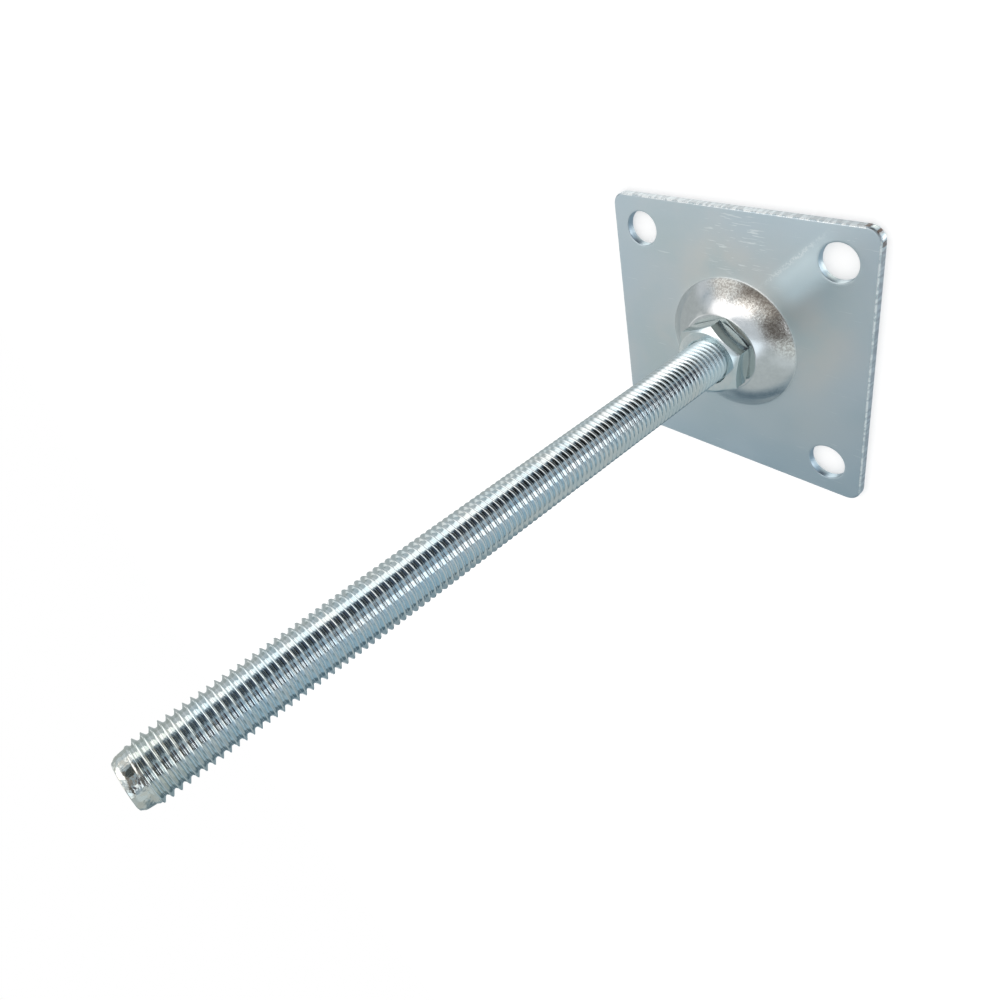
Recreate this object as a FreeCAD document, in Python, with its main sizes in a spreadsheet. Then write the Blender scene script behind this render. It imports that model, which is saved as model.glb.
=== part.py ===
# Adjustable post base: a square steel plate with a pressed dome, a headed threaded rod
# that is held in the dome, and a thin hexagon nut that runs on the rod.
# Millimetres. +Z runs up the rod, and the origin is the centre of the plate's underside.

import FreeCAD
import Part
import Sketcher
import math
import os

# Driving dimensions
SIZES = {
    "plate_side": 100.0,
    "plate_thickness": 3.0,
    "corner_radius": 5.0,
    "edge_rounding": 0.4,
    "anchor_hole_diameter": 13.0,
    "anchor_hole_spacing": 75.0,
    "dome_diameter": 50.0,
    "dome_rise": 7.8,
    "dome_foot_rounding": 0.8,
    "dome_mouth_rounding": 2.0,
    "seat_diameter": 29.0,
    "seat_rounding": 1.2,
    "thread_diameter": 15.85,
    "rod_hole_clearance": 0.35,
    "rod_length": 220.0,
    "tip_length": 5.0,
    "tip_root_diameter": 14.7,
    "tip_end_diameter": 13.8,
    "tip_edge_chamfer": 0.5,
    "head_margin": 1.25,
    "head_floor_gap": 1.3,
    "head_bevel": 1.5,
    "nut_across_flats": 24.0,
    "nut_thickness": 8.0,
    "nut_face_margin": 0.75,
    "nut_chamfer_angle": 30.0,
    "nut_thread_clearance": 0.06,
    "nut_countersink": 0.55,
    "nut_corner_angle": 24.0,
}

# Derived sizes, as expressions on the sheet
PLATE_TOP = "sizes.plate_thickness"
SEAT_LEVEL = "sizes.plate_thickness + sizes.dome_rise"
HEAD_BEARING_LEVEL = "sizes.dome_rise"
ROD_END_LEVEL = "sizes.dome_rise + sizes.rod_length"
ROD_HOLE_RADIUS = "sizes.thread_diameter / 2 + sizes.rod_hole_clearance"
NUT_BORE_RADIUS = "sizes.thread_diameter / 2 + sizes.nut_thread_clearance"

# The dome's outside is part of a ball on the rod's axis. Its centre lies this far below
# the plate's top face, so that the ball meets both the foot circle and the seat's edge.
BALL_DEPTH = (
    "((sizes.dome_diameter^2 - sizes.seat_diameter^2) / 4 - sizes.dome_rise^2)"
    " / (2 * sizes.dome_rise)"
)
BALL_RADIUS = f"sqrt((sizes.dome_diameter / 2)^2 + ({BALL_DEPTH})^2)"
# The inside of the dome is the same ball, one sheet thickness smaller.
HOLLOW_RADIUS = f"{BALL_RADIUS} - sizes.plate_thickness"
BALL_LEVEL = f"sizes.plate_thickness - ({BALL_DEPTH})"
HOLLOW_SEAT_RADIUS = f"sqrt(({HOLLOW_RADIUS})^2 - (sizes.dome_rise - ({BALL_LEVEL}))^2)"
HOLLOW_MOUTH_RADIUS = f"sqrt(({HOLLOW_RADIUS})^2 - ({BALL_LEVEL})^2)"

CLOSE = 0.01  # how near a measured edge has to be to the size it is looked up by

document = FreeCAD.newDocument("post_base")
sheet = document.addObject("Spreadsheet::Sheet", "sizes")
for row, (alias, size) in enumerate(SIZES.items(), start=1):
    sheet.set(f"A{row}", alias)
    sheet.set(f"B{row}", str(size))
    sheet.setAlias(f"B{row}", alias)
document.recompute()


def number(expression):
    """The value that an expression on the sheet has now."""
    found = sheet.evalExpression(expression.replace("sizes.", "."))
    return float(getattr(found, "Value", found))


def new_body(name):
    body = document.addObject("PartDesign::Body", name)
    body.Label = name
    return body


def new_sketch(body, name, role):
    """An empty sketch on one of the body's own origin planes."""
    plane = next(f for f in body.Origin.OriginFeatures if f.Role == role)
    sketch = body.newObject("Sketcher::SketchObject", name)
    sketch.AttachmentSupport = [(plane, "")]
    sketch.MapMode = "FlatFace"
    return sketch


def bind(sketch, name, kind, places, expression):
    """A named dimension of a sketch, tied to the sheet."""
    index = sketch.addConstraint(Sketcher.Constraint(kind, *places, number(expression)))
    sketch.renameConstraint(index, name)
    sketch.setExpression(f"Constraints.{name}", expression)


START, END, CENTRE = range(1, 4)  # how a sketch numbers the points of an edge
AXIS = -2  # a sketch's own vertical axis, and as a point reference -1, START its origin
ORIGIN = (-1, START)


def bind_point(sketch, name, place, across, up):
    """Fixes a point of a half section at a radius and a level."""
    if across is None:
        sketch.addConstraint(Sketcher.Constraint("PointOnObject", *place, AXIS))
    else:
        bind(sketch, f"{name}_radius", "DistanceX", (*ORIGIN, *place), across)
    if up is None:
        sketch.addConstraint(Sketcher.Constraint("PointOnObject", *place, -1))
    else:
        bind(sketch, f"{name}_level", "DistanceY", (*ORIGIN, *place), up)


def outline_of_lines(sketch, corners):
    """A closed outline of straight lines. corners holds (name, radius, level) expressions."""
    points = [
        FreeCAD.Vector(number(across) if across else 0, number(up) if up else 0, 0)
        for name, across, up in corners
    ]
    count = len(points)
    lines = [
        Part.LineSegment(points[i], points[(i + 1) % count]) for i in range(count)
    ]
    first = sketch.addGeometry(lines, False)[0]
    for i in range(count):
        following = first + (i + 1) % count
        sketch.addConstraint(Sketcher.Constraint("Coincident", first + i, END, following, START))
    for i, (name, across, up) in enumerate(corners):
        bind_point(sketch, name, (first + i, START), across, up)


def revolve(body, kind, name, sketch):
    """Turns a half section round the body's vertical axis."""
    feature = body.newObject(kind, name)
    feature.Profile = sketch
    feature.ReferenceAxis = (sketch, ["V_Axis"])
    feature.Angle = 360
    document.recompute()
    return feature


def circles_of(shape, radius, level):
    """The names of a shape's level circular edges of this radius at this height."""
    found = []
    for index, edge in enumerate(shape.Edges, start=1):
        curve = edge.Curve
        if not isinstance(curve, Part.Circle) or abs(abs(curve.Axis.z) - 1) > CLOSE:
            continue
        if abs(curve.Radius - radius) < CLOSE and abs(curve.Center.z - level) < CLOSE:
            found.append(f"Edge{index}")
    if not found:
        raise RuntimeError(f"no circle of radius {radius:.3f} at {level:.3f}")
    return found


def round_edges(body, name, edges, expression):
    base = body.Tip
    fillet = body.newObject("PartDesign::Fillet", name)
    fillet.Base = (base, edges)
    fillet.Radius = number(expression)
    fillet.setExpression("Radius", expression)
    document.recompute()
    return fillet


def level_outline(shape, level, inside):
    """The edges that run round the plate's rim at this height, outside the inside radius."""
    found = []
    for index, edge in enumerate(shape.Edges, start=1):
        box = edge.BoundBox
        middle = edge.CenterOfMass
        flat = abs(box.ZMin - level) < CLOSE and abs(box.ZMax - level) < CLOSE
        reach = max(abs(middle.x), abs(middle.y))
        if flat and reach > inside:
            found.append(f"Edge{index}")
    return found


def base_plate():
    """The square plate, with its dome pressed up from the same sheet."""
    body = new_body("base_plate")

    outline = new_sketch(body, "plate_outline", "XY_Plane")
    half = number("sizes.plate_side / 2")
    corners = [(-half, -half), (half, -half), (half, half), (-half, half)]
    points = [FreeCAD.Vector(x, y, 0) for x, y in corners]
    sides = [Part.LineSegment(points[i], points[(i + 1) % 4]) for i in range(4)]
    outline.addGeometry(sides, False)
    for i in range(4):
        outline.addConstraint(Sketcher.Constraint("Coincident", i, END, (i + 1) % 4, START))
        outline.addConstraint(Sketcher.Constraint("Vertical" if i % 2 else "Horizontal", i))
    outline.addConstraint(Sketcher.Constraint("Symmetric", 0, START, 1, END, *ORIGIN))
    bind(outline, "side_x", "DistanceX", (0, START, 0, END), "sizes.plate_side")
    bind(outline, "side_y", "DistanceY", (1, START, 1, END), "sizes.plate_side")
    sheet_metal = body.newObject("PartDesign::Pad", "sheet_metal")
    sheet_metal.Profile = outline
    sheet_metal.Length = number("sizes.plate_thickness")
    sheet_metal.setExpression("Length", "sizes.plate_thickness")
    document.recompute()

    upright = [
        f"Edge{index}"
        for index, edge in enumerate(sheet_metal.Shape.Edges, start=1)
        if edge.BoundBox.ZLength > CLOSE
    ]
    round_edges(body, "plate_corners", upright, "sizes.corner_radius")

    blank = new_sketch(body, "dome_blank_circle", "XY_Plane")
    blank.addGeometry(Part.Circle(FreeCAD.Vector(), FreeCAD.Vector(0, 0, 1), 1), False)
    blank.addConstraint(Sketcher.Constraint("Coincident", 0, CENTRE, *ORIGIN))
    bind(blank, "blank", "Diameter", (0,), "sizes.dome_diameter")
    cut_through(body, "dome_blank", blank)

    section = new_sketch(body, "dome_section", "XZ_Plane")
    dome_section(section)
    revolve(body, "PartDesign::Revolution", "dome", section)

    anchor = new_sketch(body, "anchor_hole_circle", "XY_Plane")
    offset = number("sizes.anchor_hole_spacing / 2")
    circle = Part.Circle(FreeCAD.Vector(offset, offset, 0), FreeCAD.Vector(0, 0, 1), 1)
    anchor.addGeometry(circle, False)
    spacing = "sizes.anchor_hole_spacing / 2"
    bind(anchor, "hole_x", "DistanceX", (*ORIGIN, 0, CENTRE), spacing)
    bind(anchor, "hole_y", "DistanceY", (*ORIGIN, 0, CENTRE), spacing)
    bind(anchor, "hole", "Diameter", (0,), "sizes.anchor_hole_diameter")
    hole = cut_through(body, "anchor_hole", anchor)
    holes = body.newObject("PartDesign::PolarPattern", "anchor_holes")
    holes.Originals = [hole]
    holes.Axis = (anchor, ["N_Axis"])
    holes.Angle = 360
    holes.Occurrences = 4
    body.Tip = holes
    document.recompute()

    foot = circles_of(holes.Shape, number("sizes.dome_diameter / 2"), number(PLATE_TOP))
    round_edges(body, "dome_foot", foot, "sizes.dome_foot_rounding")
    mouth = circles_of(body.Tip.Shape, number(HOLLOW_MOUTH_RADIUS), 0.0)
    round_edges(body, "dome_mouth", mouth, "sizes.dome_mouth_rounding")
    seat = circles_of(body.Tip.Shape, number("sizes.seat_diameter / 2"), number(SEAT_LEVEL))
    round_edges(body, "seat_edge", seat, "sizes.seat_rounding")
    inside = number("sizes.plate_side / 2 - sizes.corner_radius")
    rim = level_outline(body.Tip.Shape, number(PLATE_TOP), inside)
    rim += level_outline(body.Tip.Shape, 0.0, inside)
    round_edges(body, "sheared_edges", rim, "sizes.edge_rounding")
    return body


def cut_through(body, name, sketch):
    """Cuts a sketch on the underside's plane up through the whole body."""
    before = body.Tip.Shape.Volume
    pocket = body.newObject("PartDesign::Pocket", name)
    pocket.Profile = sketch
    pocket.Type = "ThroughAll"
    pocket.Midplane = True
    document.recompute()
    if not pocket.Shape.Volume < before - CLOSE:
        raise RuntimeError(f"{name} cut nothing")
    return pocket


def dome_section(section):
    """The pressed sheet of the dome in section: two concentric arcs and a flat seat."""
    level = number(BALL_LEVEL)
    centre = FreeCAD.Vector(0, level, 0)
    hole = number(ROD_HOLE_RADIUS)
    seat = number("sizes.seat_diameter / 2")
    foot = number("sizes.dome_diameter / 2")
    plate_top = number(PLATE_TOP)
    seat_level = number(SEAT_LEVEL)
    bearing = number(HEAD_BEARING_LEVEL)
    hollow_seat = number(HOLLOW_SEAT_RADIUS)
    mouth = number(HOLLOW_MOUTH_RADIUS)

    def arc(radius, from_point, to_point):
        start, stop = (
            math.atan2(point[1] - level, point[0]) for point in (from_point, to_point)
        )
        circle = Part.Circle(centre, FreeCAD.Vector(0, 0, 1), radius)
        return Part.ArcOfCircle(circle, start, stop)

    def line(from_point, to_point):
        return Part.LineSegment(FreeCAD.Vector(*from_point, 0), FreeCAD.Vector(*to_point, 0))

    outer_arc = arc(number(BALL_RADIUS), (foot, plate_top), (seat, seat_level))
    inner_arc = arc(number(HOLLOW_RADIUS), (mouth, 0), (hollow_seat, bearing))
    pieces = [
        outer_arc,
        line((seat, seat_level), (hole, seat_level)),
        line((hole, seat_level), (hole, bearing)),
        line((hole, bearing), (hollow_seat, bearing)),
        inner_arc,
        line((mouth, 0), (foot, 0)),
        line((foot, 0), (foot, plate_top)),
    ]
    section.addGeometry(pieces, False)
    outer, seat_line, hole_line, bearing_line, inner, underside, rim = range(7)
    joined = [
        (outer, END, seat_line, START),
        (seat_line, END, hole_line, START),
        (hole_line, END, bearing_line, START),
        (bearing_line, END, inner, END),
        (inner, START, underside, START),
        (underside, END, rim, START),
        (rim, END, outer, START),
        (outer, CENTRE, inner, CENTRE),
    ]
    for places in joined:
        section.addConstraint(Sketcher.Constraint("Coincident", *places))
    for index in (seat_line, bearing_line, underside):
        section.addConstraint(Sketcher.Constraint("Horizontal", index))
    for index in (hole_line, rim):
        section.addConstraint(Sketcher.Constraint("Vertical", index))
    section.addConstraint(Sketcher.Constraint("PointOnObject", outer, CENTRE, AXIS))
    section.addConstraint(Sketcher.Constraint("PointOnObject", underside, START, -1))
    bind(section, "foot", "DistanceX", (*ORIGIN, rim, END), "sizes.dome_diameter / 2")
    bind(section, "foot_level", "DistanceY", (*ORIGIN, rim, END), PLATE_TOP)
    bind(section, "seat", "DistanceX", (*ORIGIN, seat_line, START), "sizes.seat_diameter / 2")
    bind(section, "seat_level", "DistanceY", (*ORIGIN, seat_line, START), SEAT_LEVEL)
    bind(section, "hole", "DistanceX", (*ORIGIN, hole_line, START), ROD_HOLE_RADIUS)
    bind(section, "bearing", "DistanceY", (*ORIGIN, bearing_line, START), HEAD_BEARING_LEVEL)
    bind(section, "hollow", "Radius", (inner,), HOLLOW_RADIUS)


def threaded_rod():
    """The rod: a low round head, the thread's outer cylinder and a bevelled smooth tip."""
    body = new_body("threaded_rod")
    section = new_sketch(body, "rod_section", "XZ_Plane")
    head_radius = "sizes.seat_diameter / 2 - sizes.head_margin"
    thread_radius = "sizes.thread_diameter / 2"
    root_radius = "sizes.tip_root_diameter / 2"
    end_radius = "sizes.tip_end_diameter / 2"
    tip_level = f"{ROD_END_LEVEL} - sizes.tip_length"
    # the last of the thread runs out at 45 degrees on to the smooth tip
    thread_end = f"{tip_level} - ({thread_radius} - {root_radius})"
    corners = [
        ("head_foot", None, "sizes.head_floor_gap"),
        ("head_face", f"{head_radius} - sizes.head_bevel", "sizes.head_floor_gap"),
        ("head_rim", head_radius, "sizes.head_floor_gap + sizes.head_bevel"),
        ("head_top", head_radius, HEAD_BEARING_LEVEL),
        ("shank", thread_radius, HEAD_BEARING_LEVEL),
        ("thread_end", thread_radius, thread_end),
        ("tip_root", root_radius, tip_level),
        ("tip_edge", end_radius, f"{ROD_END_LEVEL} - sizes.tip_edge_chamfer"),
        ("end_face", f"{end_radius} - sizes.tip_edge_chamfer", ROD_END_LEVEL),
        ("rod_end", None, ROD_END_LEVEL),
    ]
    outline_of_lines(section, corners)
    revolve(body, "PartDesign::Revolution", "rod", section)
    return body


def lock_nut():
    """The thin hexagon nut, chamfered on both faces. Its bore stands for the thread."""
    body = new_body("lock_nut")
    hexagon = new_sketch(body, "hexagon", "XY_Plane")
    corner = number("sizes.nut_across_flats / sqrt(3)")
    angles = [math.radians(60 * i) for i in range(6)]
    points = [
        FreeCAD.Vector(corner * math.cos(angle), corner * math.sin(angle), 0)
        for angle in angles
    ]
    sides = [Part.LineSegment(points[i], points[(i + 1) % 6]) for i in range(6)]
    hexagon.addGeometry(sides, False)
    round_corners = Part.Circle(FreeCAD.Vector(), FreeCAD.Vector(0, 0, 1), corner)
    circle = hexagon.addGeometry(round_corners, True)
    for i in range(6):
        hexagon.addConstraint(Sketcher.Constraint("Coincident", i, END, (i + 1) % 6, START))
        hexagon.addConstraint(Sketcher.Constraint("PointOnObject", i, START, circle))
    for i in range(1, 6):
        hexagon.addConstraint(Sketcher.Constraint("Equal", 0, i))
    hexagon.addConstraint(Sketcher.Constraint("Coincident", circle, CENTRE, *ORIGIN))
    hexagon.addConstraint(Sketcher.Constraint("PointOnObject", 0, START, -1))
    bind(hexagon, "corners", "Radius", (circle,), "sizes.nut_across_flats / sqrt(3)")
    blank = body.newObject("PartDesign::Pad", "nut_blank")
    blank.Profile = hexagon
    blank.Length = number("sizes.nut_thickness")
    blank.setExpression("Length", "sizes.nut_thickness")
    document.recompute()

    # Outside each face's round edge the corners are turned off at the chamfer's slope
    face_radius = "sizes.nut_across_flats / 2 - sizes.nut_face_margin"
    clear_radius = "sizes.nut_across_flats"
    drop = f"({clear_radius} - ({face_radius})) * tan(sizes.nut_chamfer_angle * 1deg)"
    bevels = {
        "lower_bevel": [
            ("lower_face", face_radius, None),
            ("lower_clear", clear_radius, None),
            ("lower_drop", clear_radius, drop),
        ],
        "upper_bevel": [
            ("upper_face", face_radius, "sizes.nut_thickness"),
            ("upper_clear", clear_radius, "sizes.nut_thickness"),
            ("upper_drop", clear_radius, f"sizes.nut_thickness - {drop}"),
        ],
    }
    for name, corners in bevels.items():
        section = new_sketch(body, f"{name}_section", "XZ_Plane")
        outline_of_lines(section, corners)
        before = body.Tip.Shape.Volume
        cut = revolve(body, "PartDesign::Groove", name, section)
        if not cut.Shape.Volume < before - CLOSE:
            raise RuntimeError(f"{name} cut nothing")

    bore_section = new_sketch(body, "bore_section", "XZ_Plane")
    mouth_radius = f"{NUT_BORE_RADIUS} + sizes.nut_countersink"
    corners = [
        ("bore_foot", None, None),
        ("lower_mouth", mouth_radius, None),
        ("lower_bore", NUT_BORE_RADIUS, "sizes.nut_countersink"),
        ("upper_bore", NUT_BORE_RADIUS, "sizes.nut_thickness - sizes.nut_countersink"),
        ("upper_mouth", mouth_radius, "sizes.nut_thickness"),
        ("bore_top", None, "sizes.nut_thickness"),
    ]
    outline_of_lines(bore_section, corners)
    before = body.Tip.Shape.Volume
    bore = revolve(body, "PartDesign::Groove", "bore", bore_section)
    if not bore.Shape.Volume < before - CLOSE:
        raise RuntimeError("the bore cut nothing")

    turn = FreeCAD.Rotation(FreeCAD.Vector(0, 0, 1), number("sizes.nut_corner_angle"))
    body.Placement = FreeCAD.Placement(FreeCAD.Vector(0, 0, number(SEAT_LEVEL)), turn)
    body.setExpression("Placement.Base.z", SEAT_LEVEL)
    body.setExpression("Placement.Rotation.Angle", "sizes.nut_corner_angle * 1deg")
    return body


subparts = [base_plate(), threaded_rod(), lock_nut()]
document.recompute()

for item in document.Objects:
    if "Invalid" in item.State or "Error" in item.State:
        raise RuntimeError(f"{item.Label} failed: {item.State}")
for body in subparts:
    if body.Shape.isNull() or not body.Shape.isValid() or len(body.Shape.Solids) != 1:
        raise RuntimeError(f"{body.Label} is not one valid solid")

os.makedirs("parts", exist_ok=True)
for body in subparts:
    body.Shape.exportStep(f"parts/{body.Label}.step")
    box = body.Shape.BoundBox
    print(
        f"{body.Label}: volume {body.Shape.Volume:.1f} mm3,"
        f" x {box.XMin:.2f}..{box.XMax:.2f}, z {box.ZMin:.2f}..{box.ZMax:.2f}"
    )
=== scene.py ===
"""Adjustable post base in bright zinc-plated steel: a square plate with a pressed dome, a
headed rod with a rolled thread, and a thin hexagon nut. Metres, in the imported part's frame."""

import math

import bmesh
import bpy
import numpy as np
from mathutils import Matrix, Vector
from mathutils.geometry import delaunay_2d_cdt


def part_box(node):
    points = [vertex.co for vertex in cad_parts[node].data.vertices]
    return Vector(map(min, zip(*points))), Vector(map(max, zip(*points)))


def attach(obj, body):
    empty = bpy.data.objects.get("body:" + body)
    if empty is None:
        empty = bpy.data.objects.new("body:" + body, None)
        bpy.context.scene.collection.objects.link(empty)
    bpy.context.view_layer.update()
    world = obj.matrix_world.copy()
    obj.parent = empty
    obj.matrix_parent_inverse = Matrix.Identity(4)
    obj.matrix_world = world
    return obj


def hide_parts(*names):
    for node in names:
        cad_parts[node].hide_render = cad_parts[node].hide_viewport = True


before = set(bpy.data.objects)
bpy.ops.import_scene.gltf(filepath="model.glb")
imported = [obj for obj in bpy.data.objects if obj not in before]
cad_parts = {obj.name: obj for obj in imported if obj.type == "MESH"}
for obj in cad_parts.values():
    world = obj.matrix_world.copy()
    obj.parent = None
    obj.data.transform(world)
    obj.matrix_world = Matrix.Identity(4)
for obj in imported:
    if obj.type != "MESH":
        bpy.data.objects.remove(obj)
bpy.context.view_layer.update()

MM = 0.001

# Sizes that the frame gives
plate_low, plate_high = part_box("base_plate")
rod_low, rod_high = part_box("threaded_rod")
nut_low, nut_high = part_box("lock_nut")
PLATE_HALF = plate_high.x
SEAT_LEVEL = plate_high.z
HEAD_RADIUS = rod_high.x
HEAD_FLOOR = rod_low.z
ROD_END = rod_high.z
NUT_BOTTOM = nut_low.z
NUT_TOP = nut_high.z

# Sizes of the forms inside those boxes
SHEET = 3.0 * MM
CORNER_RADIUS = 5.0 * MM
HOLE_RADIUS = 6.5 * MM
HOLE_OFFSET = 37.5 * MM
ROLLED_OVER = 0.45 * MM  # the slope that the shears leave along the plate's upper edge
SLOPE_TOP_ROUNDING = 0.2 * MM
SLOPE_FOOT_ROUNDING = 0.15 * MM
SHEARED_ROUNDING = 0.3 * MM  # along the plate's lower edge
PUNCHED_ROUNDING = 0.3 * MM
DOME_RADIUS = 25.0 * MM
DOME_FOOT_ROUNDING = 0.8 * MM
DOME_MOUTH_ROUNDING = 2.0 * MM
HOLLOW_ROUNDING = 0.5 * MM  # round the seat on the hollow's side
SEAT_RADIUS = 14.5 * MM
SEAT_ROUNDING = 1.2 * MM
ROD_HOLE_RADIUS = 8.275 * MM
FLAT_START = 28.0 * MM  # the radius where the flat sheet starts round the dome
HOLE_FLAT_START = HOLE_RADIUS + 3 * PUNCHED_ROUNDING  # and round an anchor hole
HEAD_BEVEL = 1.5 * MM
HEAD_ROUNDING = 0.5 * MM
BEARING_ROUNDING = 0.3 * MM
NECK_ROUNDING = 0.4 * MM
NECK_LENGTH = 1.2 * MM  # the bare rod between its head and its thread
PITCH = 2.0 * MM
THREAD_PHASE = 0.715  # of a pitch, the level of a crest at the front of the rod
FLANK_SLOPE = math.tan(math.radians(60))
CREST_RADIUS = 7.925 * MM
ROOT_RADIUS = 6.72 * MM
BLANK_RADIUS = 7.35 * MM  # the rod before its thread was rolled, which is also the pitch radius
TIP_LENGTH = 3.9 * MM  # the smooth part past the last of the thread
TIP_RADIUS = 7.0 * MM
TIP_END_RADIUS = 6.72 * MM
TIP_SHOULDER = 0.5 * MM  # how far the rod takes to narrow from its thread's end to the tip
TIP_BEVEL_WIDTH = 0.8 * MM
TIP_BEVEL_HEIGHT = 1.2 * MM
TIP_ROUNDING = 0.5 * MM
TIP_BEND_ROUNDING = 1.5 * MM
END_FACE_INSET = 3.0 * MM  # how far inside its edge an end face's inner ring lies
NUT_FLAT_RADIUS = 12.0 * MM
NUT_FACE_RADIUS = 11.25 * MM
NUT_BEVEL_SLOPE = math.tan(math.radians(30))
NUT_CORNER_ANGLE = math.radians(24)
NUT_CORNER_ROUNDING = 0.35 * MM
NUT_EDGE_ROUNDING = 0.14 * MM
NUT_THREAD_GAP = 0.06 * MM
NUT_MINOR_RADIUS = 6.98 * MM
NUT_GROOVE_RADIUS = CREST_RADIUS + 0.12 * MM
NUT_CREST_SHARE = 0.18  # of the thread's depth, that the nut's bore takes off its crests
NUT_MOUTH_RADIUS = 8.535 * MM
NUT_FACE_INNER_RADIUS = NUT_MOUTH_RADIUS + 0.6 * MM  # where the face's own points start
TURN = 2 * math.pi


class Shell:
    """Points and faces of one closed mesh, gathered loop by loop."""

    def __init__(self):
        self.points = []
        self.faces = []

    def loop(self, points):
        """Adds points and returns their numbers, which make a loop."""
        first = len(self.points)
        self.points.extend((float(x), float(y), float(z)) for x, y, z in points)
        return list(range(first, len(self.points)))

    def bridge(self, lower, upper):
        """Joins two loops of as many points with a band of quads, facing out to the right."""
        count = len(lower)
        for i in range(count):
            j = (i + 1) % count
            self.faces.append((lower[i], lower[j], upper[j], upper[i]))

    def cap(self, loop, centre, flip=False):
        """Closes a loop with a fan of triangles round a centre point."""
        hub = self.loop([centre])[0]
        count = len(loop)
        for i in range(count):
            j = (i + 1) % count
            face = (loop[i], loop[j], hub)
            self.faces.append(face[::-1] if flip else face)

    def mesh(self, name, sharp_degrees=32):
        """The finished object, smooth apart from edges sharper than the given angle."""
        mesh = bpy.data.meshes.new(name)
        mesh.from_pydata(self.points, [], self.faces)
        mesh.validate()
        solid = bmesh.new()
        solid.from_mesh(mesh)
        bmesh.ops.recalc_face_normals(solid, faces=solid.faces)
        solid.to_mesh(mesh)
        solid.free()
        mesh.shade_smooth()
        mesh.set_sharp_from_angle(angle=math.radians(sharp_degrees))
        piece = bpy.data.objects.new(name, mesh)
        bpy.context.scene.collection.objects.link(piece)
        return piece


def circle(radius, level, count, across=0.0, along=0.0):
    angles = np.arange(count) * TURN / count
    return [
        (across + radius * math.cos(a), along + radius * math.sin(a), level) for a in angles
    ]


def rounded(profile, roundings, steps=5):
    """A (radius, level) profile with some of its corners rounded off by arcs.
    roundings maps the number of a corner to the radius of its arc."""
    made = []
    for i, point in enumerate(profile):
        if i not in roundings:
            made.append(point)
            continue
        here = Vector(point)
        back = (Vector(profile[i - 1]) - here).normalized()
        ahead = (Vector(profile[i + 1]) - here).normalized()
        half = back.angle(ahead) / 2
        reach = roundings[i] / math.tan(half)
        centre = here + (back + ahead).normalized() * (roundings[i] / math.sin(half))
        start = here + back * reach - centre
        stop = here + ahead * reach - centre
        sweep = start.angle_signed(stop)
        for step in range(steps + 1):
            turned = start.copy()
            turned.rotate(Matrix.Rotation(-sweep * step / steps, 2))
            made.append(tuple(centre + turned))
    return made


def arc(centre_level, radius, start, stop, steps):
    """Points on an arc round a centre on the axis, from one (radius, level) to another."""
    first = math.atan2(start[1] - centre_level, start[0])
    last = math.atan2(stop[1] - centre_level, stop[0])
    angles = [first + (last - first) * i / steps for i in range(steps + 1)]
    return [(radius * math.cos(a), centre_level + radius * math.sin(a)) for a in angles]


# Base plate

RIM_COUNT = 12  # steps round each corner of the plate
HOLE_COUNT = 72
DOME_COUNT = 192


def plate_outline(inset):
    """The plate's outline, a square with round corners, inset from the sheared edge."""
    points = []
    straight = PLATE_HALF - CORNER_RADIUS
    for corner in range(4):
        start = corner * TURN / 4
        turn = Matrix.Rotation(start, 2)
        for i in range(RIM_COUNT + 1):
            a = TURN / 4 * i / RIM_COUNT
            radius = CORNER_RADIUS - inset
            point = Vector((straight + radius * math.cos(a), straight + radius * math.sin(a)))
            points.append(turn @ point)
    return points


def flat_with_holes(shell, rings, upward):
    """Fills the flat sheet between its rim, the first of the rings, and its openings."""
    numbers = [n for ring in rings for n in ring]
    places = [Vector(shell.points[n][:2]) for n in numbers]
    edges = []
    for ring in rings:
        first = len(edges)
        edges += [(first + i, first + (i + 1) % len(ring)) for i in range(len(ring))]
    triangles = delaunay_2d_cdt(places, edges, [], 0, 1e-9)[2]
    for corners in triangles:
        middle = sum((places[c] for c in corners), Vector((0, 0))) / 3
        if on_flat_sheet(middle):
            face = [numbers[c] for c in corners]
            shell.faces.append(tuple(face if upward else face[::-1]))


def on_flat_sheet(point):
    """Whether a point is on the flat sheet, off the dome and off the holes."""
    across_hole = Vector((abs(point.x) - HOLE_OFFSET, abs(point.y) - HOLE_OFFSET)).length
    off_hole = across_hole > HOLE_FLAT_START * math.cos(math.pi / HOLE_COUNT)
    return off_hole and point.length > FLAT_START * math.cos(math.pi / DOME_COUNT)


def dome_profile():
    """The pressed sheet in section, from the flat round the foot, over and back below."""
    bearing = SEAT_LEVEL - SHEET
    depth = (DOME_RADIUS**2 - SEAT_RADIUS**2 - bearing**2) / (2 * bearing)
    ball = math.hypot(DOME_RADIUS, depth)
    hollow = ball - SHEET
    level = SHEET - depth
    hollow_seat = math.sqrt(hollow**2 - (bearing - level) ** 2)
    mouth = math.sqrt(hollow**2 - level**2)
    outer = arc(level, ball, (DOME_RADIUS, SHEET), (SEAT_RADIUS, SEAT_LEVEL), 28)
    inner = arc(level, hollow, (hollow_seat, bearing), (mouth, 0), 24)
    outside = [(FLAT_START, SHEET)] + trimmed(outer, DOME_FOOT_ROUNDING, SEAT_ROUNDING)
    top = [(ROD_HOLE_RADIUS, SEAT_LEVEL), (ROD_HOLE_RADIUS, bearing)]
    inside = trimmed(inner, HOLLOW_ROUNDING, DOME_MOUTH_ROUNDING) + [(FLAT_START, 0)]
    profile = outside + top + inside
    corners = {
        1: DOME_FOOT_ROUNDING,
        len(outside) - 1: SEAT_ROUNDING,
        len(outside): PUNCHED_ROUNDING,
        len(outside) + 1: PUNCHED_ROUNDING,
        len(outside) + 2: HOLLOW_ROUNDING,
        len(profile) - 2: DOME_MOUTH_ROUNDING,
    }
    return rounded(profile, corners)


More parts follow.
